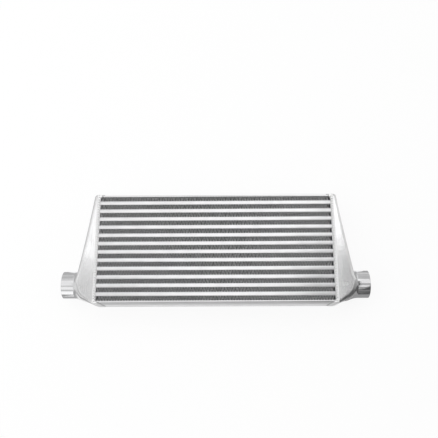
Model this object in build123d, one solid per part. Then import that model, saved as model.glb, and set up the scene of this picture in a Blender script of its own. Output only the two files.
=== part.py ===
from build123d import *
import os
from math import atan, cos, hypot, tan

# Bar-and-plate charge-air cooler (intercooler) for a turbocharged engine: a
# brazed core of ambient-air fins and charge-air passages, with a cast end tank
# and hose neck welded to each end.
#
# Frame, in millimetres: +X runs along the length, +Y from the edge beside the
# necks to the far edge, +Z out of the front face. The cooler lies on its back,
# and the origin is the middle of its footprint. "Bottom" and "top" name the
# edges at low and high Y, as they are when it stands in a car.

# Core
ROWS = 13                  # rows of ambient-air fins, with a charge passage between each two
CORE_LENGTH = 559.0        # over the ends of the long bars
CORE_DEPTH = 76.0          # rear face to front face
FIN_HEIGHT = 10.4          # one ambient row, between its two sheets
BAR_HEIGHT = 8.0           # one charge passage, between its two sheets
SHEET = 0.6                # clad parting sheet
PLATE = 4.6                # side plate
LONG_BAR_DEPTH = 10.0      # bars that close the charge passages, front and rear
END_BAR_WIDTH = 8.0        # bars that close the ambient rows, left and right

# Ambient fins, in a coarser wave than the real strip's
FIN_PITCH = 17.0
FIN_GAUGE = 0.4
FIN_RECESS = 0.8           # fin edge behind the faces of the core
FIN_END_GAP = 0.3          # strip end to end bar

# Turbulators inside the charge passages
TURBULATOR_PITCH = 9.0
TURBULATOR_GAUGE = 0.35
TURBULATOR_SIDE_GAP = 0.4  # to the long bars
TURBULATOR_RECESS = 3.0    # behind the open ends of the passage

# End tanks
TANK_PROUD = 2.0           # the tank stands this much outside the core all round
TANK_WALL = 4.0
TANK_TOP_WIDTH = 7.4       # along X, at the top end
TANK_FOOT_WIDTH = 41.0     # along X, where the neck leaves
FOOT_RISE = 6.0            # the outer wall runs straight from this far above the neck's axis
OUTER_WALL_HOLLOW = 1.3    # the outer wall bows in this much between top and foot
TOE_LIFT = 2.5             # the bottom wall would meet the foot this far above the neck's underside
TOE_RADIUS = 28.0          # corner between the outer and the bottom wall
TANK_EDGE_RADIUS = 7.0     # cast edge round the front and rear faces

# Hose necks
NECK_RADIUS = 31.75        # outside, for a 2 1/2 inch hose
NECK_WALL = 3.0
NECK_REACH = 75.4          # end of the core to the end of the neck
ROOT_REACH = 47.0          # end of the core to where the cast root ends and the machined neck starts
ROOT_SLOPE = 1 / 6         # the root widens this much for each unit towards the tank
NECK_EDGE = 45.5           # bottom edge of the core to the neck's axis
NECK_LIP = 0.6             # broken edge at the mouth

# Weld between tank and core
BEAD_WIDTH = 7.5           # on the core's front and rear faces
BEAD_HEIGHT = 1.8
BEAD_TOE = 0.3             # height of the bead's thin edge
PAD_LENGTH = 24.0          # the wider run of weld along each side plate
PAD_TOE = 6.0              # length of its tapered end

ROW_PITCH = FIN_HEIGHT + BAR_HEIGHT + 2 * SHEET
CORE_HEIGHT = ROWS * ROW_PITCH - BAR_HEIGHT - 2 * SHEET + 2 * PLATE
HALF_LENGTH = CORE_LENGTH / 2
HALF_HEIGHT = CORE_HEIGHT / 2
TANK_DEPTH = CORE_DEPTH + 2 * TANK_PROUD
TANK_HALF_HEIGHT = HALF_HEIGHT + TANK_PROUD
MID_Z = TANK_DEPTH / 2
NECK_Y = NECK_EDGE - HALF_HEIGHT
EDGE_RADIUS = min(TANK_EDGE_RADIUS, 0.85 * (TANK_DEPTH / 2 - NECK_RADIUS), 0.95 * TANK_TOP_WIDTH)


def row_y(row):
    """Middle of ambient row 0, 1, 2 ... counted from the bottom."""
    return PLATE - HALF_HEIGHT + FIN_HEIGHT / 2 + row * ROW_PITCH


def passage_y(passage):
    """Middle of the charge passage above the ambient row of the same number."""
    return row_y(passage) + ROW_PITCH / 2


def corrugated(length, height, depth, pitch, gauge):
    """Folded strip: waves along X, crests at plus and minus half the height, depth along Z."""
    waves = round(length / pitch)
    step = length / (2 * waves)
    slant = gauge * hypot(step, height) / step
    upper = [(step * i - length / 2, height / 2 if i % 2 == 0 else slant - height / 2)
             for i in range(2 * waves + 1)]
    lower = [(x, y - slant) for x, y in reversed(upper)]
    return extrude(make_face(Polyline(*upper, *lower, close=True)), depth / 2, both=True)


def side_plate(side):
    y = side * (HALF_HEIGHT - PLATE / 2)
    return Pos(0, y, MID_Z) * Box(CORE_LENGTH, PLATE, CORE_DEPTH)


def ambient_fin(row):
    length = CORE_LENGTH - 2 * (END_BAR_WIDTH + FIN_END_GAP)
    depth = CORE_DEPTH - 2 * FIN_RECESS
    return Pos(0, row_y(row), MID_Z) * corrugated(length, FIN_HEIGHT, depth, FIN_PITCH, FIN_GAUGE)


def end_bars(side):
    """The bars that close every ambient row at one end of the core."""
    x = side * (HALF_LENGTH - END_BAR_WIDTH / 2)
    return [Pos(x, row_y(row), MID_Z) * Box(END_BAR_WIDTH, FIN_HEIGHT, CORE_DEPTH)
            for row in range(ROWS)]


def charge_bars(passage):
    """The rear and front bars of one charge passage."""
    offset = (CORE_DEPTH - LONG_BAR_DEPTH) / 2
    return [Pos(0, passage_y(passage), MID_Z + side * offset)
            * Box(CORE_LENGTH, BAR_HEIGHT, LONG_BAR_DEPTH) for side in (-1, 1)]


def parting_sheets(passage):
    """The two sheets that part one charge passage from its ambient rows."""
    offset = (BAR_HEIGHT + SHEET) / 2
    return [Pos(0, passage_y(passage) + side * offset, MID_Z)
            * Box(CORE_LENGTH, SHEET, CORE_DEPTH) for side in (-1, 1)]


def turbulator(passage):
    """Inner fin, folded across the passage so that its channels run along X."""
    width = CORE_DEPTH - 2 * (LONG_BAR_DEPTH + TURBULATOR_SIDE_GAP)
    length = CORE_LENGTH - 2 * TURBULATOR_RECESS
    strip = corrugated(width, BAR_HEIGHT, length, TURBULATOR_PITCH, TURBULATOR_GAUGE)
    return Pos(0, passage_y(passage), MID_Z) * Rot(0, 90, 0) * strip


def tank_outline(inset=0.0):
    """Front view of the right tank, with the core's end face at X = 0, or of the space inside it."""
    half_height, width = TANK_HALF_HEIGHT - inset, TANK_FOOT_WIDTH - inset
    toe_y = NECK_Y - NECK_RADIUS + TOE_LIFT
    slope = atan((toe_y + TANK_HALF_HEIGHT) / TANK_FOOT_WIDTH)

    def bottom_wall(x):
        return (x, x * tan(slope) + inset / cos(slope) - TANK_HALF_HEIGHT)

    low, high, toe = bottom_wall(-inset), (-inset, half_height), bottom_wall(width)
    top, foot = (TANK_TOP_WIDTH - inset, half_height), (width, NECK_Y + FOOT_RISE)
    outer_wall = SagittaArc(top, foot, -OUTER_WALL_HOLLOW)
    face = make_face([Line(low, high), Line(high, top), outer_wall, Line(foot, toe), Line(toe, low)])
    return fillet(face.vertices().sort_by_distance((*toe, 0))[0], TOE_RADIUS - inset)


def neck_bar(radius, root_slope=0.0):
    """Round bar along the neck's axis, from inside the tank to the mouth, with or without the wider root."""
    start = TANK_FOOT_WIDTH / 2
    root_length = ROOT_REACH - start
    upright = (Align.CENTER, Align.CENTER, Align.MIN)
    bar = Cylinder(radius, NECK_REACH - start, align=upright)
    if root_slope:
        bar += Cone(radius + root_slope * root_length, radius, root_length, align=upright)
    return Pos(start, NECK_Y, MID_Z) * Rot(0, 90, 0) * bar


def right_tank():
    """Tank and neck in one casting, with the core's end face at X = 0."""
    cast = extrude(tank_outline(), TANK_DEPTH)
    by_depth = cast.edges().group_by(Axis.Z)
    top_corner = cast.edges().sort_by_distance((TANK_TOP_WIDTH, TANK_HALF_HEIGHT, MID_Z))[0]
    rim_free = [edge for edge in by_depth[0] + by_depth[-1] if edge.center().X > 1e-3]
    cast = fillet(rim_free + [top_corner], EDGE_RADIUS) + neck_bar(NECK_RADIUS, ROOT_SLOPE)
    mouth = cast.edges().filter_by(GeomType.CIRCLE).group_by(Axis.X)[-1]
    cast = chamfer(mouth, NECK_LIP)

    plenum = Pos(0, 0, TANK_WALL) * extrude(tank_outline(TANK_WALL), TANK_DEPTH - 2 * TANK_WALL)
    return cast - plenum - neck_bar(NECK_RADIUS - NECK_WALL)


def right_weld():
    """Weld bead round the core, against the tank's rim at X = 0."""
    toe, crown = (Rectangle(CORE_HEIGHT + 2 * h, CORE_DEPTH + 2 * h) for h in (BEAD_TOE, BEAD_HEIGHT))
    bead = loft([Plane.YZ.offset(-BEAD_WIDTH) * toe, Plane.YZ * crown])
    pad = Polyline((0, 0), (0, BEAD_HEIGHT), (PAD_TOE - PAD_LENGTH, BEAD_HEIGHT),
                   (-PAD_LENGTH, BEAD_TOE), (-PAD_LENGTH, 0), close=True)
    pad = Pos(0, HALF_HEIGHT, 0) * extrude(make_face(pad), CORE_DEPTH / 2, both=True)
    core = Box(2 * PAD_LENGTH, CORE_HEIGHT, CORE_DEPTH)
    return Pos(0, 0, MID_Z) * (bead + pad + mirror(pad, Plane.XZ) - core)


def at_end(side, shape):
    """Right-hand shape moved to its end of the core, or mirrored to the left end."""
    shape = Pos(HALF_LENGTH, 0, 0) * shape
    return shape if side > 0 else mirror(shape, Plane.YZ)


def save(name, *solids):
    export_step(Compound(children=list(solids)), f"parts/{name}.step")


os.makedirs("parts", exist_ok=True)
for side, name in ((-1, "bottom"), (1, "top")):
    save(f"side_plate_{name}", side_plate(side))
for side, name in ((-1, "left"), (1, "right")):
    save(f"end_bars_{name}", *end_bars(side))
    save(f"tank_{name}", at_end(side, right_tank()))
    save(f"weld_{name}", at_end(side, right_weld()))
for row in range(ROWS):
    save(f"ambient_fin_{row + 1:02}", ambient_fin(row))
for passage in range(ROWS - 1):
    save(f"charge_bars_{passage + 1:02}", *charge_bars(passage))
    save(f"parting_sheets_{passage + 1:02}", *parting_sheets(passage))
    save(f"turbulator_{passage + 1:02}", turbulator(passage))
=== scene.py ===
"""Looks of a bar-and-plate charge-air cooler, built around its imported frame.

Everything is in metres in the frame's own axes: +X along the length, +Y from the edge beside the
necks to the far edge, +Z out of the front face. The cooler lies on its back on Z = 0.
"""
import math

import bmesh
import bpy
import numpy as np
from bpy.props import FloatProperty, FloatVectorProperty, IntProperty, PointerProperty
from bpy.types import Operator, Panel, PropertyGroup, Scene
from mathutils import Matrix, Vector


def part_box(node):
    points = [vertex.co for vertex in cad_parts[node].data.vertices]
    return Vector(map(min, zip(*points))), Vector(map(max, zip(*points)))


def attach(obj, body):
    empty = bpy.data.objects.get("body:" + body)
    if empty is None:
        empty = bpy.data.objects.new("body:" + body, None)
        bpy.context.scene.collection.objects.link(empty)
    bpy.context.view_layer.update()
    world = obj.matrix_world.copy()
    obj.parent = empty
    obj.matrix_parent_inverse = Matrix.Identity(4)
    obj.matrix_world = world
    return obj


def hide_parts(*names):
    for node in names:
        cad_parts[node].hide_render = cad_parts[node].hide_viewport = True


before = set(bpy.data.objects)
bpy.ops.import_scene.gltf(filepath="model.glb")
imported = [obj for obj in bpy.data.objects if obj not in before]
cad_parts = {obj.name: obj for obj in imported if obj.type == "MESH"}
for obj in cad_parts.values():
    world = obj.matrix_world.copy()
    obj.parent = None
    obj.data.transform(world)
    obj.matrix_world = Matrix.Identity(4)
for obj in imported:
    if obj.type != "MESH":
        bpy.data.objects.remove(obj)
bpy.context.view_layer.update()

bl_info = {
    "name": "Charge-air cooler",
    "version": (1, 0, 0),
    "blender": (4, 5, 0),
    "location": "3D View > Sidebar > Cooler",
    "description": "Builds the visible pieces of a bar-and-plate charge-air cooler on its frame",
    "category": "Mesh",
}

BODY = "root"
ROWS = 13
SIDES = {"left": -1, "right": 1}
PLATE_LOW, PLATE_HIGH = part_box("side_plate_top")
TANK_LOW, TANK_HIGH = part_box("tank_right")
CORE_END = PLATE_HIGH.x
CORE_HALF_HEIGHT = PLATE_HIGH.y
CORE_HALF_DEPTH = (PLATE_HIGH.z - PLATE_LOW.z) / 2
MID_Z = (PLATE_LOW.z + PLATE_HIGH.z) / 2
MM = 0.001


# ---------------------------------------------------------------- sizes and colours

def number(name, description, default, **more):
    return FloatProperty(name=name, description=description, default=default, min=0.0, **more)


def length(name, description, default):
    return number(name, description, default, unit="LENGTH", precision=5)


def colour(name, description, default):
    return FloatVectorProperty(name=name, description=description, default=default, size=3,
                               min=0.0, max=1.0, subtype="COLOR")


class CoreSizes(PropertyGroup):
    """Bars, plates and fins of the core."""
    fin_pitch: length("Fin pitch", "One wave of the ambient fins", 6.2 * MM)
    foil: length("Fin foil", "Thickness of the ambient fins' foil", 0.46 * MM)
    crest: length("Crest", "Flat crest of each wave, brazed to the sheets", 0.9 * MM)
    lances: IntProperty(name="Lanced bands", description="Bands that a strip is cut into",
                        default=6, min=1)
    stagger: number("Stagger", "Shift between two bands, in waves", 0.08, max=0.5,
                    subtype="FACTOR")
    bar_edge: length("Bar edge", "Edge radius of the drawn bars", 0.8 * MM)
    plate_edge: length("Plate edge", "Outer edge radius of the side plates", 3.8 * MM)
    plate_corner: length("Plate corner", "Radius of their edges beside the fins", 0.5 * MM)


class TankSizes(PropertyGroup):
    """The cast end tanks, each with its neck."""
    wall: length("Wall", "Thickness of the casting", 4.0 * MM)
    top_width: length("Top width", "Along X, at the narrow end", 7.4 * MM)
    foot_width: length("Foot width", "Along X, where the neck leaves", 41.0 * MM)
    foot_rise: length("Foot rise", "Where the outer wall stands straight, above the neck", 6.0 * MM)
    hollow: length("Hollow", "How far the outer wall bows in", 1.3 * MM)
    toe_lift: length("Toe lift", "The bottom wall's end above the neck's underside", 2.5 * MM)
    toe_radius: length("Toe radius", "Corner between outer and bottom wall", 28.0 * MM)
    edge_radius: length("Edge radius", "Cast edge round the front and rear faces", 7.0 * MM)
    toe_edge: length("Toe edge", "Larger edge radius at the toe, beside the neck", 12.5 * MM)
    neck_radius: length("Neck radius", "Outside of the machined neck", 31.75 * MM)
    neck_wall: length("Neck wall", "Thickness at the mouth", 3.0 * MM)
    neck_edge: length("Neck edge", "Lower edge of the core to the neck's axis", 45.5 * MM)
    root_reach: length("Root reach", "End of the core to where the machined neck starts", 47.0 * MM)
    root_step: length("Root step", "The cast root stands outside the machined neck", 0.3 * MM)
    polish: length("Polish", "How far the neck's polish runs onto the root", 4.5 * MM)
    root_start: length("Root start", "End of the core to where the root starts", 26.0 * MM)
    root_slope: number("Root slope", "How fast the root widens to the tank", 0.09)
    root_blend: length("Root blend", "Size of the soft corner between tank and neck", 12.0 * MM)
    lip: length("Lip", "Broken edge at the mouth", 0.7 * MM)
    cell: length("Cell", "Mesh size of the cast skin", 1.35 * MM)


class WeldSizes(PropertyGroup):
    """The bead between a tank and the core."""
    width: length("Bead width", "On the front and rear faces", 7.2 * MM)
    height: length("Bead height", "Crown above the core", 1.85 * MM)
    pad: length("Pad", "Wider weld on the side plates", 18.0 * MM)
    ripple: length("Ripple pitch", "Distance between two ripples", 6.0 * MM)
    depth: length("Ripple depth", "Height of one ripple", 1.5 * MM)
    lump: length("Lump", "Extra width where a run starts or stops", 4.5 * MM)
    wander: length("Wander", "How far the bead's edge wanders", 0.5 * MM)
    skirt: length("Skirt", "How deep the closed underside lies in the core", 0.95 * MM)


class Finishes(PropertyGroup):
    """Base colours of the finishes."""
    bar: colour("Drawn bar", "Mill finish of bars and plates", (0.90, 0.90, 0.905))
    foil: colour("Fin foil", "Rolled foil at its cut edges", (0.94, 0.94, 0.95))
    # darker than the bars, partly the dull braze on the sheets and partly painted shade along the
    # edges of the fin rows
    sheet: colour("Clad sheet", "Brazed parting sheets", (0.68, 0.68, 0.69))
    cast: colour("Casting", "Satin skin of the tanks", (0.88, 0.88, 0.885))
    neck: colour("Machined neck", "Turned and polished neck", (0.86, 0.86, 0.87))
    weld: colour("Weld", "Bright weld metal", (0.94, 0.94, 0.94))
    floor: colour("Floor", "Plain pale floor", (0.95, 0.95, 0.95))
    # painted shade: a dark grey floor under the core, seen through the fins
    painted_shade_floor: colour("Painted shade floor", "The floor under the core", (0.40, 0.40, 0.40))


class Studio(PropertyGroup):
    """Floor, lamps and camera."""
    ambient: number("Ambient", "Level of the pale surroundings", 0.70)
    key: number("Key lamp", "Power of the large overhead lamp", 16.0, unit="POWER")
    side: number("Side lamp", "Power of the lamp at the left", 6.0, unit="POWER")
    lift: number("Floor lift", "How far the seen floor is lifted to white", 0.88, max=1.0,
                 subtype="FACTOR")
    lens: number("Lens", "Focal length", 45.85, unit="CAMERA")
    camera: FloatVectorProperty(name="Camera", description="Where the camera stands",
                                default=(0.0208, -0.2771, 1.3416), size=3, subtype="TRANSLATION")
    tilt: FloatVectorProperty(name="Camera angles", description="Turn about X, Y and Z",
                              default=tuple(math.radians(a) for a in (15.251, 0.608, -0.305)),
                              size=3, subtype="EULER")


# ---------------------------------------------------------------- meshes

def new_piece(mesh, node, slot, *materials):
    """Shows a mesh in place of a CAD node."""
    piece = bpy.data.objects.new(mesh.name, mesh)
    bpy.context.scene.collection.objects.link(piece)
    mesh.materials.clear()
    for material in materials:
        mesh.materials.append(material)
    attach(piece, BODY)
    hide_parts(node)


def mesh_from(name, vertices, faces):
    mesh = bpy.data.meshes.new(name)
    mesh.from_pydata([tuple(v) for v in vertices], [], [tuple(f) for f in faces])
    mesh.validate()
    return mesh


def soft_edges(mesh, degrees=35):
    mesh.shade_smooth()
    mesh.set_sharp_from_angle(angle=math.radians(degrees))
    return mesh


def solid_boxes(node):
    """Lowest and highest corner of each separate solid of a CAD node that is made of boxes."""
    bm = bmesh.new()
    bm.from_mesh(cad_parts[node].data)
    bmesh.ops.remove_doubles(bm, verts=bm.verts, dist=1e-6)
    seen, boxes = set(), []
    for start in bm.verts:
        if start in seen:
            continue
        seen.add(start)
        group = [start]
        for vert in group:  # which grows while it is walked
            joined = [edge.other_vert(vert) for edge in vert.link_edges]
            group += [other for other in joined if other not in seen]
            seen.update(joined)
        corners = np.array([tuple(vert.co) for vert in group])
        boxes.append((Vector(corners.min(0)), Vector(corners.max(0))))
    bm.free()
    return boxes


def drawn_bars(name, node, radius, material):
    """The bars of a CAD node, with their edges broken."""
    bm = bmesh.new()
    for low, high in solid_boxes(node):
        made = bmesh.ops.create_cube(bm, size=1.0)["verts"]
        bmesh.ops.scale(bm, vec=high - low, verts=made)
        bmesh.ops.translate(bm, vec=(low + high) / 2, verts=made)
    bmesh.ops.bevel(bm, geom=bm.edges[:], offset=radius, segments=3, profile=0.5,
                    affect="EDGES", clamp_overlap=True)
    mesh = bpy.data.meshes.new(name)
    bm.to_mesh(mesh)
    bm.free()
    new_piece(soft_edges(mesh, 50), node, "extruded_bar", material)


def rolled_plate(name, node, outer, inner, steps=6):
    """A side plate along X with its outer edges rounded more than those beside the fins."""
    (x0, y0, z0), (x1, y1, z1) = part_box(node)
    outline = []
    for turn, (y, z, inward_y, inward_z) in enumerate(((y0, z0, 1, 1), (y1, z0, -1, 1),
                                                       (y1, z1, -1, -1), (y0, z1, 1, -1))):
        radius = outer if abs(y) == max(abs(y0), abs(y1)) else inner
        for k in range(steps + 1):
            angle = math.pi + (turn + k / steps) * math.pi / 2
            outline.append((y + radius * (inward_y + math.cos(angle)),
                            z + radius * (inward_z + math.sin(angle))))
    count = len(outline)
    faces = [(k, (k + 1) % count, count + (k + 1) % count, count + k) for k in range(count)]
    faces += [tuple(range(count)), tuple(range(count, 2 * count))]
    vertices = [(x, y, z) for x in (x0, x1) for y, z in outline]
    return soft_edges(outward(mesh_from(name, vertices, faces)))


def thick_line(points, thickness):
    """The two sides of a folded line, mitred at its corners, as two lists of points."""
    points = np.array(points)
    runs = np.diff(points, axis=0)
    normals = np.stack([-runs[:, 1], runs[:, 0]], 1) / np.linalg.norm(runs, axis=1)[:, None]
    before, after = np.vstack([normals[:1], normals]), np.vstack([normals, normals[-1:]])
    mitre = (before + after) / (1 + (before * after).sum(1))[:, None]
    return points + mitre * thickness / 2, points - mitre * thickness / 2


def fin_strip(name, node, sizes):
    """Ambient fin: folded foil, cut into bands over the depth. Every second band is shifted."""
    low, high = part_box(node)
    waves = round((high.x - low.x) / sizes.fin_pitch)
    margin = (sizes.crest + sizes.foil) / 2
    filled = 0.97  # share of a band that is foil, the rest is the cut to the next
    half_wave = (high.x - low.x - 2 * margin) / (2 * waves - 1)
    depth = (high.z - low.z) / sizes.lances
    bottom, top = low.y + sizes.foil / 2, high.y - sizes.foil / 2
    vertices, faces = [], []
    for band in range(sizes.lances):
        shift = sizes.stagger * 2 * half_wave * (band % 2)
        line = []
        for fold in range(2 * waves - bool(shift)):
            middle = low.x + margin + shift + fold * half_wave
            y = bottom if fold % 2 else top
            line += [(middle - sizes.crest / 2, y), (middle + sizes.crest / 2, y)]
        sides = [[tuple(p) for p in side] for side in thick_line(line, sizes.foil)]
        base, count = len(vertices), len(line)
        first = low.z + band * depth
        for z in (first, first + filled * depth):
            vertices += [(*p, z) for side in sides for p in side]
        corners = [base + k * count for k in (0, 1, 3, 2)]
        for k in range(count - 1):
            for a, b in zip(corners, corners[1:] + corners[:1]):
                faces.append((a + k, a + k + 1, b + k + 1, b + k))
        faces += [tuple(corners), tuple(c + count - 1 for c in reversed(corners))]
    return outward(mesh_from(name, vertices, faces))


def tank_outline(sizes, inset=0.0, steps=24):
    """Front view of the right tank as points (u, y), with u measured out from the core's end."""
    back = -0.04  # well inside the core, where the tank is cut off later
    half_height = TANK_HIGH.y - inset
    width = sizes.foot_width - inset
    axis_y = sizes.neck_edge - CORE_HALF_HEIGHT
    toe_y = axis_y - sizes.neck_radius + sizes.toe_lift
    slope = math.atan((toe_y + TANK_HIGH.y) / sizes.foot_width)

    def bottom(u):
        return u * math.tan(slope) + inset / math.cos(slope) - TANK_HIGH.y

    top = Vector((sizes.top_width - inset, half_height))
    foot = Vector((width, axis_y + sizes.foot_rise))
    chord = foot - top
    inward = Vector((chord.y, -chord.x)).normalized()
    if inward.x > 0:
        inward = -inward
    points = [Vector((back, half_height)), top]
    for k in range(1, steps):
        t = k / steps
        points.append(top + chord * t + inward * (4 * sizes.hollow * t * (1 - t)))
    points.append(foot)
    # the toe: a tangent arc between the straight outer wall and the bottom wall
    corner = Vector((width, bottom(width)))
    radius = sizes.toe_radius - inset
    turn = math.pi / 2 - slope
    reach = radius / math.tan((math.pi - turn) / 2)
    centre = Vector((width - radius, corner.y + reach))
    for k in range(steps + 1):
        angle = -turn * k / steps
        points.append(centre + radius * Vector((math.cos(angle), math.sin(angle))))
    points += [Vector((0.0, bottom(0.0))), Vector((back, bottom(0.0)))]
    return np.array([tuple(p) for p in points])


def outline_distance(points, outline):
    """Signed distance of (u, y) points from a closed outline, negative inside."""
    best = np.full(len(points), 1e9)
    inside = np.zeros(len(points), bool)
    for a, b in zip(outline, np.roll(outline, -1, axis=0)):
        run = b - a
        t = np.clip((points - a) @ run / (run @ run), 0, 1)
        gap = points - a - t[:, None] * run
        best = np.minimum(best, (gap * gap).sum(1))
        crosses = (a[1] > points[:, 1]) != (b[1] > points[:, 1])
        if run[1]:
            crosses &= points[:, 0] < a[0] + (points[:, 1] - a[1]) * run[0] / run[1]
            inside ^= crosses
    return np.where(inside, -1, 1) * np.sqrt(best)


def cast_distance(sizes):
    """Signed distance from the skin of the casting: the tank, blended into the neck's root."""
    edge, half_depth = sizes.edge_radius, (TANK_HIGH.z - TANK_LOW.z) / 2
    outline = tank_outline(sizes, edge)
    axis_y = sizes.neck_edge - CORE_HALF_HEIGHT

    def soft_step(value, start, end):
        t = np.clip((value - start) / (end - start), 0, 1)
        return t * t * (3 - 2 * t)

    def distance(points):
        # the edge radius grows out from the core and down past the neck's axis
        rounder = ((sizes.toe_edge - edge) * soft_step(points[:, 0], 2 * MM, 26 * MM)
                   * soft_step(points[:, 1], axis_y + 6 * MM, axis_y - 16 * MM))
        flat = outline_distance(points[:, :2], outline) + rounder
        depth = np.abs(points[:, 2] - MID_Z)
        deep = depth - (half_depth - edge) + rounder
        tank = (np.minimum(np.maximum(flat, deep), 0)
                + np.hypot(np.maximum(flat, 0), np.maximum(deep, 0)) - edge - rounder)
        taper = np.clip(sizes.root_reach - points[:, 0], 0, None) * sizes.root_slope
        radial = np.hypot(points[:, 1] - axis_y, points[:, 2] - MID_Z)
        root = np.maximum(radial - sizes.neck_radius - sizes.root_step - taper,
                          sizes.root_start - points[:, 0])
        near = np.maximum(sizes.root_blend - np.abs(tank - root), 0) / sizes.root_blend
        joined = np.minimum(tank, root) - near * near * sizes.root_blend / 4
        return np.maximum(joined, depth - half_depth)

    return distance


def skin(distance, low, high, cell):
    """Quad mesh of the surface where the distance is 0, with one vertex in each cell it crosses."""
    counts = np.ceil((np.array(high) - low) / cell).astype(int) + 1
    axes = [low[i] + cell * np.arange(counts[i]) for i in range(3)]
    grid = np.stack(np.meshgrid(*axes, indexing="ij"), -1)
    field = distance(grid.reshape(-1, 3)).reshape(counts)
    inside = field < 0

    def corner(array, offset):
        return array[tuple(slice(o, array.shape[i] - 1 + o) for i, o in enumerate(offset))]

    offsets = [(i, j, k) for i in (0, 1) for j in (0, 1) for k in (0, 1)]
    filled = sum(corner(inside, o).astype(int) for o in offsets)
    active = (filled > 0) & (filled < 8)
    total, crossings = np.zeros(filled.shape + (3,)), np.zeros(filled.shape)
    for a in offsets:
        for axis in range(3):
            if a[axis]:
                continue
            b = tuple(o + (i == axis) for i, o in enumerate(a))
            fa, fb = corner(field, a), corner(field, b)
            cross = (fa < 0) != (fb < 0)
            share = np.where(cross, fa / np.where(cross, fa - fb, 1), 0)
            point = np.array(a, float) + share[..., None] * np.eye(3)[axis]
            total += point * cross[..., None]
            crossings += cross
    places = np.argwhere(active)
    index = np.full(active.shape, -1)
    index[active] = np.arange(len(places))
    vertices = np.array(low) + cell * (places + total[active] / crossings[active][:, None])
    faces = []
    for axis in range(3):
        j, k = (axis + 1) % 3, (axis + 2) % 3
        here = inside.take(range(counts[axis] - 1), axis)
        there = inside.take(range(1, counts[axis]), axis)
        for place in np.argwhere(here != there):
            if min(place[j], place[k]) < 1:
                continue
            quad = []
            for dj, dk in ((1, 1), (0, 1), (0, 0), (1, 0)):
                at = place.copy()
                at[j] -= dj
                at[k] -= dk
                quad.append(index[tuple(at)])
            faces.append(quad if here[tuple(place)] else quad[::-1])
    # the vertices are then drawn onto the surface itself, along its slope
    step = cell * 0.05
    for _ in range(4):
        value = distance(vertices)
        slope = np.stack([(distance(vertices + step * np.eye(3)[i])
                           - distance(vertices - step * np.eye(3)[i])) / (2 * step)
                          for i in range(3)], 1)
        vertices = vertices - slope * (value / np.maximum((slope * slope).sum(1), 0.1))[:, None]
    return vertices, faces


def turned(name, profile, axis_y, segments=128):
    """Solid turned about the neck's axis from a profile of (x, radius) with both ends on it."""
    vertices, faces = [], []
    rings = profile[1:-1]
    for x, radius in rings:
        for angle in (2 * math.pi * k / segments for k in range(segments)):
            y, z = radius * math.cos(angle), radius * math.sin(angle)
            vertices.append((x, axis_y + y, MID_Z + z))
    for ring in range(len(rings) - 1):
        for k in range(segments):
            n = (k + 1) % segments
            a, b = ring * segments, (ring + 1) * segments
            faces.append((a + k, a + n, b + n, b + k))
    first, last = len(vertices), len(vertices) + 1
    vertices += [(profile[0][0], axis_y, MID_Z), (profile[-1][0], axis_y, MID_Z)]
    end = (len(rings) - 1) * segments
    for k in range(segments):
        n = (k + 1) % segments
        faces += [(first, n, k), (last, end + k, end + n)]
    return mesh_from(name, vertices, faces)


def prism(name, outline, start, rear, front):
    """Solid that stands on an outline of (u, y), moved out to the core's end."""
    count = len(outline)
    vertices = [(start + u, y, z) for z in (rear, front) for u, y in outline]
    faces = [tuple(range(count)), tuple(range(2 * count - 1, count - 1, -1))]
    faces += [(count + k, count + (k + 1) % count, (k + 1) % count, k) for k in range(count)]
    return mesh_from(name, vertices, faces)


def outward(mesh):
    bm = bmesh.new()
    bm.from_mesh(mesh)
    bmesh.ops.recalc_face_normals(bm, faces=bm.faces)
    bm.to_mesh(mesh)
    bm.free()
    return mesh


def combined(base, steps):
    """Joins solids to a mesh or cuts them from it, in turn."""
    scene = bpy.context.scene
    body = bpy.data.objects.new("casting", base)
    scene.collection.objects.link(body)
    for operation, mesh in steps:
        tool = bpy.data.objects.new("tool", outward(mesh))
        scene.collection.objects.link(tool)
        change = body.modifiers.new(operation, "BOOLEAN")
        change.operation, change.object, change.solver = operation, tool, "MANIFOLD"
        bpy.context.view_layer.update()
        done = bpy.data.meshes.new_from_object(
            body.evaluated_get(bpy.context.evaluated_depsgraph_get()))
        body.modifiers.clear()
        body.data = done
        bpy.data.objects.remove(tool)
    result = body.data
    bpy.data.objects.remove(body)
    return result


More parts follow.
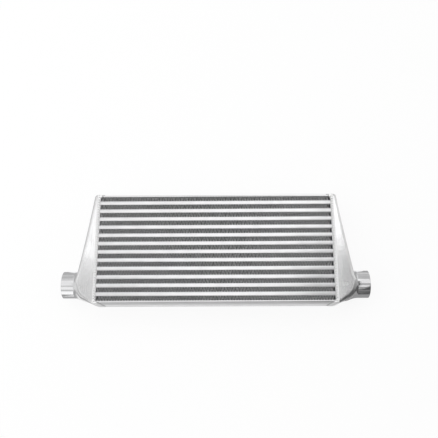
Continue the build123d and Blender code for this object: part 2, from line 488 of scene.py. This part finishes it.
def tank_mesh(sizes):
    """The right tank: cast skin, turned neck, plenum and bore."""
    axis_y = sizes.neck_edge - CORE_HALF_HEIGHT
    spare, past_ends, to_cap = 4 * MM, 6 * MM, 2 * MM
    low = np.array((-past_ends, TANK_LOW.y - spare, TANK_LOW.z - spare))
    high = np.array((sizes.root_reach + past_ends, TANK_HIGH.y + spare, TANK_HIGH.z + spare))
    distance = cast_distance(sizes)

    def closed(points):
        ends = np.maximum(low[0] + to_cap - points[:, 0], points[:, 0] - high[0] + to_cap)
        return np.maximum(distance(points), ends)

    vertices, faces = skin(closed, low, high, sizes.cell)
    vertices[:, 0] += CORE_END
    cast = outward(mesh_from("cast", vertices, faces))

    far = 0.2  # past the tank on every side

    def trim(x0, x1):
        return prism("trim", [(x0, -far), (x1, -far), (x1, far), (x0, far)], CORE_END, -far, far)

    radius, lip, mouth = sizes.neck_radius, sizes.lip, TANK_HIGH.x
    neck_start, bore_start = CORE_END + 30 * MM, CORE_END + 20 * MM  # both inside the tank
    rounding = [(mouth - lip + lip * math.sin(a), radius - lip + lip * math.cos(a))
                for a in (k * math.pi / 12 for k in range(7))]
    neck = turned("neck", [(neck_start, 0.0), (neck_start, radius), *rounding, (mouth, 0.0)],
                  axis_y)
    inner = radius - sizes.neck_wall
    bore = turned("bore", [(bore_start, 0.0), (bore_start, inner), (mouth - 0.5 * lip, inner),
                           (mouth + MM, inner + 0.6 * lip + MM), (mouth + MM, 0.0)], axis_y)
    plenum = prism("plenum", tank_outline(sizes, sizes.wall), CORE_END,
                   TANK_LOW.z + sizes.wall, TANK_HIGH.z - sizes.wall)
    return combined(cast, [("DIFFERENCE", trim(-far, 0.0)),
                           ("DIFFERENCE", trim(sizes.root_reach, far)),
                           ("UNION", neck), ("DIFFERENCE", plenum), ("DIFFERENCE", bore)])


def mirrored(mesh, side):
    """A copy for that side, mirrored in X for the left one."""
    copy = mesh.copy()
    if side < 0:
        copy.transform(Matrix.Scale(-1, 4, (1, 0, 0)))
        copy.flip_normals()
    return copy


def weld_path(half_y, half_z, corner, step, turns=5):
    """The way round the core's end as (y, z) places with their outward directions."""
    y, z = half_y - corner, half_z - corner
    path = []
    for start, stop, centre, angle in (((-half_y, -z), (-half_y, z), (-y, z), math.pi),
                                       ((-y, half_z), (y, half_z), (y, z), math.pi / 2),
                                       ((half_y, z), (half_y, -z), (y, -z), 0.0),
                                       ((y, -half_z), (-y, -half_z), (-y, -z), -math.pi / 2)):
        start, stop = Vector(start), Vector(stop)
        normal = Vector((math.cos(angle), math.sin(angle)))
        count = max(2, round((stop - start).length / step))
        path += [(start.lerp(stop, k / count), normal) for k in range(count)]
        for k in range(turns):
            bent = angle - math.pi / 2 * (k + 0.5) / turns
            normal = Vector((math.cos(bent), math.sin(bent)))
            path.append((Vector(centre) + corner * normal, normal))
    return path


def weld_mesh(name, side, sizes, seed):
    """Rippled bead round the core's end, wider on the side plates and where a run starts."""
    rng = np.random.default_rng(seed)
    path = weld_path(CORE_HALF_HEIGHT, CORE_HALF_DEPTH, corner=1.2 * MM, step=0.55 * MM)
    count, across, knots = len(path), 17, 48
    spots = np.array([tuple(p) for p, _ in path])
    normals = np.array([tuple(n) for _, n in path])
    gaps = np.linalg.norm(np.roll(spots, -1, axis=0) - spots, axis=1)
    along = np.concatenate([[0], np.cumsum(gaps)[:-1]])
    perimeter = gaps.sum()
    ripples = round(perimeter / sizes.ripple)
    jitter = rng.uniform(-0.2, 0.2, (ripples, 2))
    waver = rng.uniform(-1, 1, knots)
    lowest, highest = 0.05 * MM, 1.9 * MM  # of the crown above the core

    def wander(s):
        """Slow wander of the bead's edge, closed over the way round."""
        x = s / perimeter * knots
        k, t = int(x) % knots, x - int(x)
        t = t * t * (3 - 2 * t)
        return waver[k] * (1 - t) + waver[(k + 1) % knots] * t

    def blurred(values, reach):
        padded = np.concatenate([values[-reach:], values, values[:reach]])
        return np.convolve(padded, np.ones(2 * reach + 1) / (2 * reach + 1), "valid")

    def section(t, phase, lump):
        """Height, pull of the edge and painted shade, from the core at t = 0 to the tank at t = 1.
        """
        crown = math.sin(math.pi * (0.05 + 0.80 * t)) ** 0.6
        bent = phase + 0.8 * (2 * t - 1) ** 2  # the ripples trail at both edges of the bead
        swell = math.sin(math.pi * (bent % 1.0))
        rise, shift = jitter[int(bent) % ripples]
        low = 1 - (swell ** 1.1 + rise)
        fade = math.sin(math.pi * min(max(t, 0.04), 0.93)) ** 0.35 * min(1, 3.2 * (1 - t))
        height = sizes.height * crown - sizes.depth * low * fade * (1 - 0.6 * lump)
        # painted shade: the colour darkens in the ripple valleys, along the toe beside the core and
        # round the outline of each lump, where shade falls
        valley = min(max((0.62 - swell) / 0.5, 0), 1) * fade
        toe = max(0, 1 - (t / 0.28) ** 2) * (0.40 + 0.85 * low)
        outline = 0.8 * lump * max(0, (abs(2 * t - 1) - 0.7) / 0.3)
        return (min(max(height, lowest), highest), MM * (1 - t) * (0.5 * shift + 0.9 * low),
                min(max(valley, toe, outline), 1))

    on_plate = blurred(np.abs(normals[:, 0]), 9)
    to_top = np.exp(-(((spots[:, 0] - CORE_HALF_HEIGHT) / (7 * MM)) ** 2))
    to_bottom = np.exp(-(((spots[:, 0] + CORE_HALF_HEIGHT) / (5 * MM)) ** 2))
    lumps = np.clip(to_top + to_bottom, 0, 1) * (1 - on_plate)
    widths = sizes.width + (sizes.pad - sizes.width) * on_plate + lumps * sizes.lump
    vertices, dull = [], []
    for spot, normal, s, width, lump in zip(spots, normals, along, widths, lumps):
        width += wander(s) * sizes.wander
        for t in (j / (across - 1) for j in range(across)):
            height, pull, painted_shade_share = section(t, s / perimeter * ripples, lump)
            y, z = spot + normal * height
            vertices.append((side * (CORE_END - (width - pull) * (1 - t)), y, MID_Z + z))
            dull.append(painted_shade_share)
        y, z = spot - normal * sizes.skirt
        vertices += [(side * CORE_END, y, MID_Z + z), (side * (CORE_END - width), y, MID_Z + z)]
        dull += [1.0, 1.0]
    around = across + 2
    faces = []
    for i in range(count):
        here, there = i * around, (i + 1) % count * around
        for j in range(around):
            m = (j + 1) % around
            faces.append((here + j, here + m, there + m, there + j))
    mesh = soft_edges(outward(mesh_from(name, vertices, faces)), 60)
    # painted shade of each vertex, read by the weld material
    mesh.attributes.new("dull", "FLOAT", "POINT").data.foreach_set("value", dull)
    return mesh


# ---------------------------------------------------------------- materials

def place_node(tree, kind, **inputs):
    """Adds a node. Keys that are its properties are set as such, and others are its inputs."""
    node = tree.nodes.new(kind)
    for key, value in inputs.items():
        if hasattr(node, key) and key not in node.inputs:
            setattr(node, key, value)
            continue
        socket = node.inputs[int(key[1:])] if key[0] == "i" and key[1:].isdigit() else \
            node.inputs[key.replace("_", " ")]
        if isinstance(value, bpy.types.NodeSocket):
            tree.links.new(value, socket)
        else:
            socket.default_value = value
    return node


def group_tree(name, inputs, outputs):
    """A shader node group with named inputs (name, kind, default) and outputs (name, kind)."""
    tree = bpy.data.node_groups.new(name, "ShaderNodeTree")
    for label, kind, default in inputs:
        socket = tree.interface.new_socket(label, in_out="INPUT", socket_type=kind)
        if default is not None:
            socket.default_value = default
    for label, kind in outputs:
        tree.interface.new_socket(label, in_out="OUTPUT", socket_type=kind)
    return tree, tree.nodes.new("NodeGroupInput"), tree.nodes.new("NodeGroupOutput")


def use_group(tree, name, **inputs):
    return place_node(tree, "ShaderNodeGroup", node_tree=bpy.data.node_groups[name], **inputs)


def maths(tree, operation, *values, **more):
    """The result of one Math node on sockets or numbers."""
    inputs = {f"i{k}": value for k, value in enumerate(values)}
    return place_node(tree, "ShaderNodeMath", operation=operation, **inputs, **more).outputs[0]


def ranged(tree, source, low, high, start=0.0, end=1.0):
    """Moves from low to high while the source goes from start to end."""
    return place_node(tree, "ShaderNodeMapRange", Value=source, From_Min=start, From_Max=end,
                      To_Min=low, To_Max=high).outputs[0]


def noise(tree, place, scale, detail, roughness, **more):
    return place_node(tree, "ShaderNodeTexNoise", Vector=place, Scale=scale, Detail=detail,
                      Roughness=roughness, **more).outputs["Fac"]


def object_place(tree):
    return place_node(tree, "ShaderNodeTexCoord").outputs["Object"]


def build_groups():
    """The effects that several finishes share."""
    if "drawn lines" in bpy.data.node_groups:
        return
    value, vector, colour_kind = "NodeSocketFloat", "NodeSocketVector", "NodeSocketColor"

    # fine lines drawn out along one direction, as rolling, extruding or sanding leaves them
    tree, given, result = group_tree(
        "drawn lines", [("Stretch", vector, (1, 1, 1)), ("Contrast", value, 1.0)],
        [("Lines", value), ("Height", value)])
    scaled = place_node(tree, "ShaderNodeVectorMath", operation="MULTIPLY",
                        i0=object_place(tree), i1=given.outputs["Stretch"])
    fine = noise(tree, scaled.outputs[0], 1.0, 4.0, 0.65)
    strong = maths(tree, "MULTIPLY_ADD", maths(tree, "SUBTRACT", fine, 0.5),
                   given.outputs["Contrast"], 0.5, use_clamp=True)
    tree.links.new(strong, result.inputs["Lines"])
    tree.links.new(fine, result.inputs["Height"])

    # the grain of a sand-cast or etched skin, with slow patches of a duller tone
    tree, given, result = group_tree(
        "cast grain", [("Grain Scale", value, 900.0), ("Patch Scale", value, 22.0)],
        [("Height", value), ("Patches", value)])
    place = object_place(tree)
    grain = noise(tree, place, given.outputs["Grain Scale"], 5.0, 0.6)
    patches = noise(tree, place, given.outputs["Patch Scale"], 4.0, 0.55, Distortion=0.4)
    tree.links.new(grain, result.inputs["Height"])
    tree.links.new(ranged(tree, patches, 0.0, 1.0, 0.35, 0.65), result.inputs["Patches"])

    # a tone that moves from a colour to a darker one by a mask
    tree, given, result = group_tree(
        "two tones", [("Mask", value, 0.0), ("Colour", colour_kind, None),
                      ("Shade", value, 0.8)], [("Tone", colour_kind)])
    shade, bright = given.outputs["Shade"], given.outputs["Colour"]
    grey = place_node(tree, "ShaderNodeCombineColor", i0=shade, i1=shade, i2=shade)
    darker = place_node(tree, "ShaderNodeMix", data_type="RGBA", blend_type="MULTIPLY", i0=1.0,
                        i6=bright, i7=grey.outputs[0])
    mix = place_node(tree, "ShaderNodeMix", data_type="RGBA", i0=given.outputs["Mask"],
                     i6=bright, i7=darker.outputs[2])
    tree.links.new(mix.outputs[2], result.inputs["Tone"])


def material_of(name, paint, *values):
    """The material of that name, which paint(tree, shader, *values) fills the first time."""
    if name in bpy.data.materials:
        return bpy.data.materials[name]
    build_groups()
    material = bpy.data.materials.new(name)
    material.use_nodes = True
    tree = material.node_tree
    paint(tree, tree.nodes["Principled BSDF"], *values)
    return material


def tone(tree, mask, base, shade):
    return use_group(tree, "two tones", Mask=mask, Colour=(*base, 1.0), Shade=shade).outputs["Tone"]


def metal(tree, shader, tint, rough, height, relief, strength, metallic=1.0):
    """Wires colour, roughness and a height, with the relief as its full size in metres."""
    tree.links.new(tint, shader.inputs["Base Color"])
    tree.links.new(rough, shader.inputs["Roughness"])
    shader.inputs["Metallic"].default_value = metallic
    bump = place_node(tree, "ShaderNodeBump", Height=height, Distance=relief, Strength=strength)
    tree.links.new(bump.outputs["Normal"], shader.inputs["Normal"])


def drawn(tree, shader, base, stretch, rough=(0.28, 0.42)):
    """Mill finish: drawn lines and slow patches of oxide."""
    lines = use_group(tree, "drawn lines", Stretch=stretch, Contrast=1.6)
    oxide = use_group(tree, "cast grain", Grain_Scale=1400.0, Patch_Scale=34.0)
    mask = maths(tree, "MULTIPLY", lines.outputs["Lines"], oxide.outputs["Patches"])
    metal(tree, shader, tone(tree, mask, base, 0.86), ranged(tree, lines.outputs["Lines"], *rough),
          lines.outputs["Height"], relief=0.4 * MM, strength=0.12)


def foil(tree, shader, base):
    """Rolled foil: bright along its cut edges, with painted shade that darkens it deeper inside the
    core, and slow stain patches.
    """
    stains = use_group(tree, "cast grain", Grain_Scale=600.0, Patch_Scale=55.0)
    place = place_node(tree, "ShaderNodeSeparateXYZ", Vector=object_place(tree))
    from_middle = maths(tree, "ABSOLUTE", maths(tree, "SUBTRACT", place.outputs["Z"], MID_Z))
    # painted shade: the colour darkens from the front and rear faces into the core, where shade
    # falls
    inside = ranged(tree, from_middle, 1.0, 0.0, CORE_HALF_DEPTH - 4.0 * MM,
                    CORE_HALF_DEPTH - 1.5 * MM)
    # real stain patches plus the painted shade, down to 0.54 of the foil colour
    stains_and_painted_shade = maths(tree, "MULTIPLY_ADD", stains.outputs["Patches"], 0.3, inside, use_clamp=True)
    height = stains.outputs["Height"]
    metal(tree, shader, tone(tree, stains_and_painted_shade, base, 0.54), ranged(tree, height, 0.38, 0.62), height,
          relief=0.2 * MM, strength=0.15, metallic=0.9)


def casting(tree, shader, base):
    """Satin casting: fine grain, patches of a duller tone, and faint sanding lines along Y."""
    grain = use_group(tree, "cast grain", Grain_Scale=950.0, Patch_Scale=26.0)
    lines = use_group(tree, "drawn lines", Stretch=(260.0, 14.0, 260.0), Contrast=2.4)
    mask = maths(tree, "MULTIPLY", lines.outputs["Lines"], grain.outputs["Patches"])
    metal(tree, shader, tone(tree, mask, base, 0.80), ranged(tree, mask, 0.22, 0.31),
          grain.outputs["Height"], relief=0.35 * MM, strength=0.22)


def machined(tree, shader, base):
    """Turned neck: bright, with fine rings of the tool round its axis."""
    rings = use_group(tree, "drawn lines", Stretch=(1500.0, 6.0, 6.0), Contrast=1.2)
    mask = rings.outputs["Lines"]
    metal(tree, shader, tone(tree, mask, base, 0.93), ranged(tree, mask, 0.07, 0.13),
          rings.outputs["Height"], relief=0.1 * MM, strength=0.10)


def welded(tree, shader, base):
    """Clean weld metal: bright crowns, with painted shade that darkens the colour in the valleys,
    along the toe and round the lumps.
    """
    grain = use_group(tree, "cast grain", Grain_Scale=1600.0, Patch_Scale=160.0)
    dull = place_node(tree, "ShaderNodeAttribute", attribute_name="dull").outputs["Fac"]
    # painted shade: the colour is darkened to 0.38 of its base in the creases, along the toe and
    # round the lumps
    metal(tree, shader, tone(tree, dull, base, 0.38),
          ranged(tree, grain.outputs["Patches"], 0.28, 0.42), grain.outputs["Height"],
          relief=0.2 * MM, strength=0.2, metallic=0.5)


def seen_directly(tree):
    """A mask that is 1 for what the camera, a metal or a glass sees."""
    rays = place_node(tree, "ShaderNodeLightPath").outputs
    first = maths(tree, "MAXIMUM", rays["Is Camera Ray"], rays["Is Glossy Ray"])
    return maths(tree, "MAXIMUM", first, rays["Is Transmission Ray"])


def even_light(tree, level):
    return place_node(tree, "ShaderNodeEmission", Color=(1.0, 1.0, 1.0, 1.0),
                      Strength=level).outputs[0]


def matt_floor(tree, shader, base, lift):
    """Plain matt floor, lifted to white where it is seen, so that only a soft shadow is left."""
    shader.inputs["Base Color"].default_value = (*base, 1.0)
    shader.inputs["Roughness"].default_value = 0.9
    shader.inputs["Specular IOR Level"].default_value = 0.0
    share = maths(tree, "MULTIPLY", seen_directly(tree), lift)
    mix = place_node(tree, "ShaderNodeMixShader", i0=share, i1=shader.outputs[0],
                     i2=even_light(tree, 1.0))
    tree.links.new(mix.outputs[0], tree.nodes["Material Output"].inputs["Surface"])


def glowing_card(tree, shader, level):
    """A plain card that gives off an even grey or white."""
    tree.nodes.remove(shader)
    tree.links.new(even_light(tree, level), tree.nodes["Material Output"].inputs["Surface"])


def finish_node(node, material):
    """Gives a CAD node that stays visible its material."""
    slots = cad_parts[node].data.materials
    slots.clear()
    slots.append(material)


# ---------------------------------------------------------------- operators

# how finely the lines of a drawn finish are packed along X, Y and Z
ALONG_X = (9.0, 1100.0, 1100.0)
ALONG_Z = (900.0, 900.0, 14.0)


class COOLER_OT_ambient_fins(Operator):
    """Build the folded and lanced fin strips of the ambient rows"""
    bl_idname = "cooler.ambient_fins"
    bl_label = "Ambient fins"

    def execute(self, context):
        rolled = material_of("fin foil", foil, context.scene.cooler_finish.foil)
        for row in range(1, ROWS + 1):
            node = f"ambient_fin_{row:02}"
            mesh = fin_strip(f"folded_fin_{row:02}", node, context.scene.cooler_core)
            new_piece(mesh, node, "fin_foil", rolled)
        return {"FINISHED"}


class COOLER_OT_charge_bars(Operator):
    """Build the long bars that close the charge passages"""
    bl_idname = "cooler.charge_bars"
    bl_label = "Charge bars"

    def execute(self, context):
        scene = context.scene
        bar = material_of("drawn bar", drawn, scene.cooler_finish.bar, ALONG_X)
        for passage in range(1, ROWS):
            drawn_bars(f"drawn_bars_{passage:02}", f"charge_bars_{passage:02}",
                       scene.cooler_core.bar_edge, bar)
        return {"FINISHED"}


class COOLER_OT_end_bars(Operator):
    """Build the short bars that close the ambient rows"""
    bl_idname = "cooler.end_bars"
    bl_label = "End bars"

    def execute(self, context):
        scene = context.scene
        cut = material_of("cut bar", drawn, scene.cooler_finish.bar, ALONG_Z)
        for side in SIDES:
            drawn_bars(f"cut_bars_{side}", f"end_bars_{side}", scene.cooler_core.bar_edge, cut)
        return {"FINISHED"}


class COOLER_OT_side_plates(Operator):
    """Build the two side plates"""
    bl_idname = "cooler.side_plates"
    bl_label = "Side plates"

    def execute(self, context):
        scene = context.scene
        bar = material_of("drawn bar", drawn, scene.cooler_finish.bar, ALONG_X)
        for edge in ("bottom", "top"):
            node = f"side_plate_{edge}"
            mesh = rolled_plate(f"rolled_plate_{edge}", node, scene.cooler_core.plate_edge,
                                scene.cooler_core.plate_corner)
            new_piece(mesh, node, "extruded_bar", bar)
        return {"FINISHED"}


class COOLER_OT_parting_sheets(Operator):
    """Finish the parting sheets and the turbulators behind them"""
    bl_idname = "cooler.parting_sheets"
    bl_label = "Sheets and turbulators"

    def execute(self, context):
        finish = context.scene.cooler_finish
        # the sheet colour is partly braze and partly painted shade beside the fin rows
        sheet = material_of("clad sheet", drawn, finish.sheet, (30.0, 900.0, 900.0), (0.35, 0.5))
        rolled = material_of("fin foil", foil, finish.foil)
        for passage in range(1, ROWS):
            finish_node(f"parting_sheets_{passage:02}", sheet)
            finish_node(f"turbulator_{passage:02}", rolled)
        return {"FINISHED"}


class COOLER_OT_tanks(Operator):
    """Cast the two end tanks with their machined necks"""
    bl_idname = "cooler.tanks"
    bl_label = "End tanks"

    def execute(self, context):
        scene = context.scene
        finish, sizes = scene.cooler_finish, scene.cooler_tank
        materials = (material_of("cast skin", casting, finish.cast),
                     material_of("machined neck", machined, finish.neck))
        right = tank_mesh(sizes)
        polished_from = CORE_END + sizes.root_reach - sizes.polish
        for side, sign in SIDES.items():
            mesh = mirrored(right, sign)
            mesh.name = f"cast_tank_{side}"
            new_piece(mesh, f"tank_{side}", "cast_tank", *materials)
            for face in mesh.polygons:
                face.material_index = int(abs(face.center.x) > polished_from)
            soft_edges(mesh, 32)
        return {"FINISHED"}


class COOLER_OT_welds(Operator):
    """Lay the weld beads between the tanks and the core"""
    bl_idname = "cooler.welds"
    bl_label = "Welds"

    def execute(self, context):
        bright = material_of("weld metal", welded, context.scene.cooler_finish.weld)
        for side, sign in SIDES.items():
            mesh = weld_mesh(f"weld_bead_{side}", sign, context.scene.cooler_weld, 7 + sign)
            new_piece(mesh, f"weld_{side}", "weld_metal", bright)
        return {"FINISHED"}


def area_lamp(name, place, target, size, power):
    """A soft lamp that lights matt surfaces. The metals mirror the surroundings and the cards."""
    lamp = bpy.data.lights.new(name, "AREA")
    lamp.shape, lamp.size, lamp.size_y, lamp.energy = "RECTANGLE", *size, power
    holder = bpy.data.objects.new(name, lamp)
    holder.location = place
    holder.rotation_euler = (Vector(target) - Vector(place)).to_track_quat("-Z", "Y").to_euler()
    holder.visible_glossy = False
    bpy.context.scene.collection.objects.link(holder)


# Studio cards that only a shiny surface sees. Every card is a rectangle between two corners.
FLAT_CARDS = {
    # name: (low X, low Y), (high X, high Y), height, level
    "right_tank_flag": ((0.385, -0.70), (0.468, 0.120), 0.60, 0.00),
    "left_tank_flag": ((-0.468, -0.70), (-0.375, 0.065), 0.60, 0.45),
    "right_low_flag": ((0.580, -0.95), (1.15, -0.12), 0.60, 0.10),
    "right_tank_light": ((0.32, 0.135), (0.470, 0.60), 0.60, 1.50),
    "left_low_flag": ((-1.15, -0.95), (-0.75, -0.12), 0.60, 0.40),
    "right_bar_light": ((0.27, -0.30), (0.380, 0.12), 0.60, 1.22),
    "right_edge_flag": ((0.590, -0.12), (1.15, 0.30), 0.60, 0.62),
    "left_tank_light": ((-0.470, 0.075), (-0.32, 0.19), 0.60, 1.45),
    "left_tank_top_light": ((-0.470, 0.19), (-0.32, 0.60), 0.60, 1.08),
    "core_light": ((-0.40, -0.30), (0.60, 0.70), 1.60, 1.12),
    "right_floor_flag": ((0.20, -1.20), (0.31, -0.135), 0.003, 0.42),
    "right_root_floor": ((0.31, -0.32), (0.45, -0.10), 0.003, 0.34),
    "right_root_flag": ((0.45, -0.32), (1.30, -0.10), 0.003, 0.10),
    "right_root_far_flag": ((0.31, -1.20), (1.30, -0.32), 0.003, 0.10),
    "middle_floor_flag": ((-0.30, -0.60), (0.20, -0.135), 0.003, 0.48),
    "left_floor_flag": ((-0.70, -0.22), (-0.30, -0.135), 0.003, 0.45),
    "left_root_flag": ((-1.30, -1.20), (-0.40, -0.22), 0.003, 0.35),
    "right_neck_floor": ((0.36, -0.03), (1.30, 0.12), 0.003, 0.42),
    "right_far_floor": ((0.36, 0.12), (1.30, 1.20), 0.003, 0.72),
    "left_far_floor": ((-1.30, -0.03), (-0.36, 1.20), 0.003, 0.50),
}
WALL_CARDS = {
    # name: (X, Y) of the two ends, height, level
    "right_wall": ((1.15, -0.20), (1.15, 0.12), 1.00, 0.40),
    "right_low_wall": ((1.15, -0.90), (1.15, -0.20), 1.00, 0.12),
    "right_corner_wall": ((0.40, -1.30), (1.15, -0.90), 1.00, 0.12),
    "right_far_wall": ((1.15, 0.12), (1.15, 1.20), 1.00, 0.85),
    "left_wall": ((-1.15, 0.12), (-1.15, -0.90), 1.00, 0.76),
    "left_far_wall": ((-1.15, 1.20), (-1.15, 0.12), 1.00, 0.80),
    "far_wall": ((1.90, 1.90), (-1.90, 1.90), 0.90, 0.50),
    "near_wall": ((-0.45, -1.40), (0.45, -1.40), 1.30, 0.30),
}
FAN_REACH = 1.10
# strips that run beside each neck's axis: degrees from overhead towards +Y, and level
FANS = {
    "right": ((70, 80, 0.63), (36, 69, 0.53), (3, 32, 0.90), (-17, 1, 0.50), (-29, -20, 0.85),
              (-45, -31, 0.36), (-66, -46, 0.24), (-88, -67, 0.17)),
    "left": ((74, 84, 0.70), (50, 72, 0.55), (32, 49, 0.70), (-4, 30, 0.92), (-22, -9, 0.68),
             (-58, -45, 0.60), (-92, -66, 1.15)),
}


def studio_card(name, corners, level):
    """A flat card beside the object that shows only in its reflections."""
    mesh = mesh_from(name, corners, [(0, 1, 2, 3)])
    mesh.materials.append(material_of(f"card {level:.2f}", glowing_card, level))
    card = bpy.data.objects.new(name, mesh)
    for kind in ("camera", "diffuse", "transmission", "volume_scatter", "shadow"):
        setattr(card, f"visible_{kind}", False)
    bpy.context.scene.collection.objects.link(card)


def set_cards(neck_y):
    for name, ((x0, y0), (x1, y1), z, level) in FLAT_CARDS.items():
        studio_card(name, [(x0, y0, z), (x1, y0, z), (x1, y1, z), (x0, y1, z)], level)
    for name, ((x0, y0), (x1, y1), height, level) in WALL_CARDS.items():
        studio_card(name, [(x0, y0, 0.01), (x1, y1, 0.01), (x1, y1, height), (x0, y0, height)],
                    level)
    for side, strips in FANS.items():
        near, far = SIDES[side] * 0.55, SIDES[side] * 1.00
        for number, (a0, a1, level) in enumerate(strips, 1):
            edges = [(neck_y + FAN_REACH * math.sin(math.radians(a)),
                      MID_Z + FAN_REACH * math.cos(math.radians(a))) for a in (a0, a1)]
            studio_card(f"{side}_strip_{number}", [(near, *edges[0]), (far, *edges[0]),
                                                   (far, *edges[1]), (near, *edges[1])], level)


class COOLER_OT_stage(Operator):
    """Set the floor, the lamps, the pale surroundings and the camera"""
    bl_idname = "cooler.stage"
    bl_label = "Stage"

    def execute(self, context):
        scene = context.scene
        studio = scene.cooler_studio
        # the patch under the core is a face of its own with a dark colour and no lift, painted
        # shade that makes the fins dark inside
        reach = 6.0
        corners = [(sx * x, sy * y, 0) for x, y in ((reach, reach), (CORE_END, CORE_HALF_HEIGHT))
                   for sx, sy in ((-1, -1), (1, -1), (1, 1), (-1, 1))]
        faces = [(k, (k + 1) % 4, 4 + (k + 1) % 4, 4 + k) for k in range(4)] + [(4, 5, 6, 7)]
        mesh = mesh_from("floor", corners, faces)
        floor = bpy.data.objects.new("floor", mesh)
        scene.collection.objects.link(floor)
        finish = scene.cooler_finish
        for name, base, lift in (("studio floor", finish.floor, studio.lift),
                                 ("floor painted dark under core", finish.painted_shade_floor, 0.0)):
            mesh.materials.append(material_of(name, matt_floor, base, lift))
        mesh.polygons[4].material_index = 1
        area_lamp("key lamp", (-0.5, 0.9, 2.1), (0, 0, 0), (2.4, 1.6), studio.key)
        area_lamp("side lamp", (-1.6, -0.4, 1.3), (0, 0, 0), (1.2, 1.2), studio.side)
        set_cards(scene.cooler_tank.neck_edge - CORE_HALF_HEIGHT)

        world = bpy.data.worlds.new("pale studio")
        scene.world = world
        world.use_nodes = True
        tree = world.node_tree
        background = tree.nodes["Background"]
        background.inputs["Color"].default_value = (1.0, 1.0, 1.0, 1.0)
        tree.links.new(ranged(tree, seen_directly(tree), studio.ambient, 1.0),
                       background.inputs["Strength"])

        data = bpy.data.cameras.new("camera")
        data.lens, data.sensor_width = studio.lens, 36.0
        camera = bpy.data.objects.new("camera", data)
        scene.collection.objects.link(camera)
        x, y, z = studio.tilt
        camera.matrix_world = Matrix.Translation(studio.camera) @ (
            Matrix.Rotation(z, 4, "Z") @ Matrix.Rotation(x, 4, "X") @ Matrix.Rotation(y, 4, "Y"))
        scene.camera = camera
        scene.view_settings.view_transform = "Standard"
        return {"FINISHED"}


BUILD_ORDER = (COOLER_OT_ambient_fins, COOLER_OT_charge_bars, COOLER_OT_end_bars,
               COOLER_OT_side_plates, COOLER_OT_parting_sheets, COOLER_OT_tanks,
               COOLER_OT_welds, COOLER_OT_stage)


class COOLER_PT_build(Panel):
    """Sizes, colours and build steps of the cooler"""
    bl_idname = "COOLER_PT_build"
    bl_label = "Charge-air cooler"
    bl_space_type = "VIEW_3D"
    bl_region_type = "UI"
    bl_category = "Cooler"

    def draw(self, context):
        for name in SETTINGS:
            settings = getattr(context.scene, name)
            box = self.layout.box()
            box.label(text=type(settings).__name__)
            for key in settings.__annotations__:
                box.prop(settings, key)
        for step in BUILD_ORDER:
            self.layout.operator(step.bl_idname)


SETTINGS = {"cooler_core": CoreSizes, "cooler_tank": TankSizes, "cooler_weld": WeldSizes,
            "cooler_finish": Finishes, "cooler_studio": Studio}


def register():
    for kind in (*SETTINGS.values(), *BUILD_ORDER, COOLER_PT_build):
        bpy.utils.register_class(kind)
    for name, kind in SETTINGS.items():
        setattr(Scene, name, PointerProperty(type=kind))


def unregister():
    for name in SETTINGS:
        delattr(Scene, name)
    for kind in (COOLER_PT_build, *BUILD_ORDER, *SETTINGS.values()):
        bpy.utils.unregister_class(kind)


def main():
    register()
    for step in BUILD_ORDER:
        family, call = step.bl_idname.split(".")
        getattr(getattr(bpy.ops, family), call)()


if __name__ == "__main__":
    main()
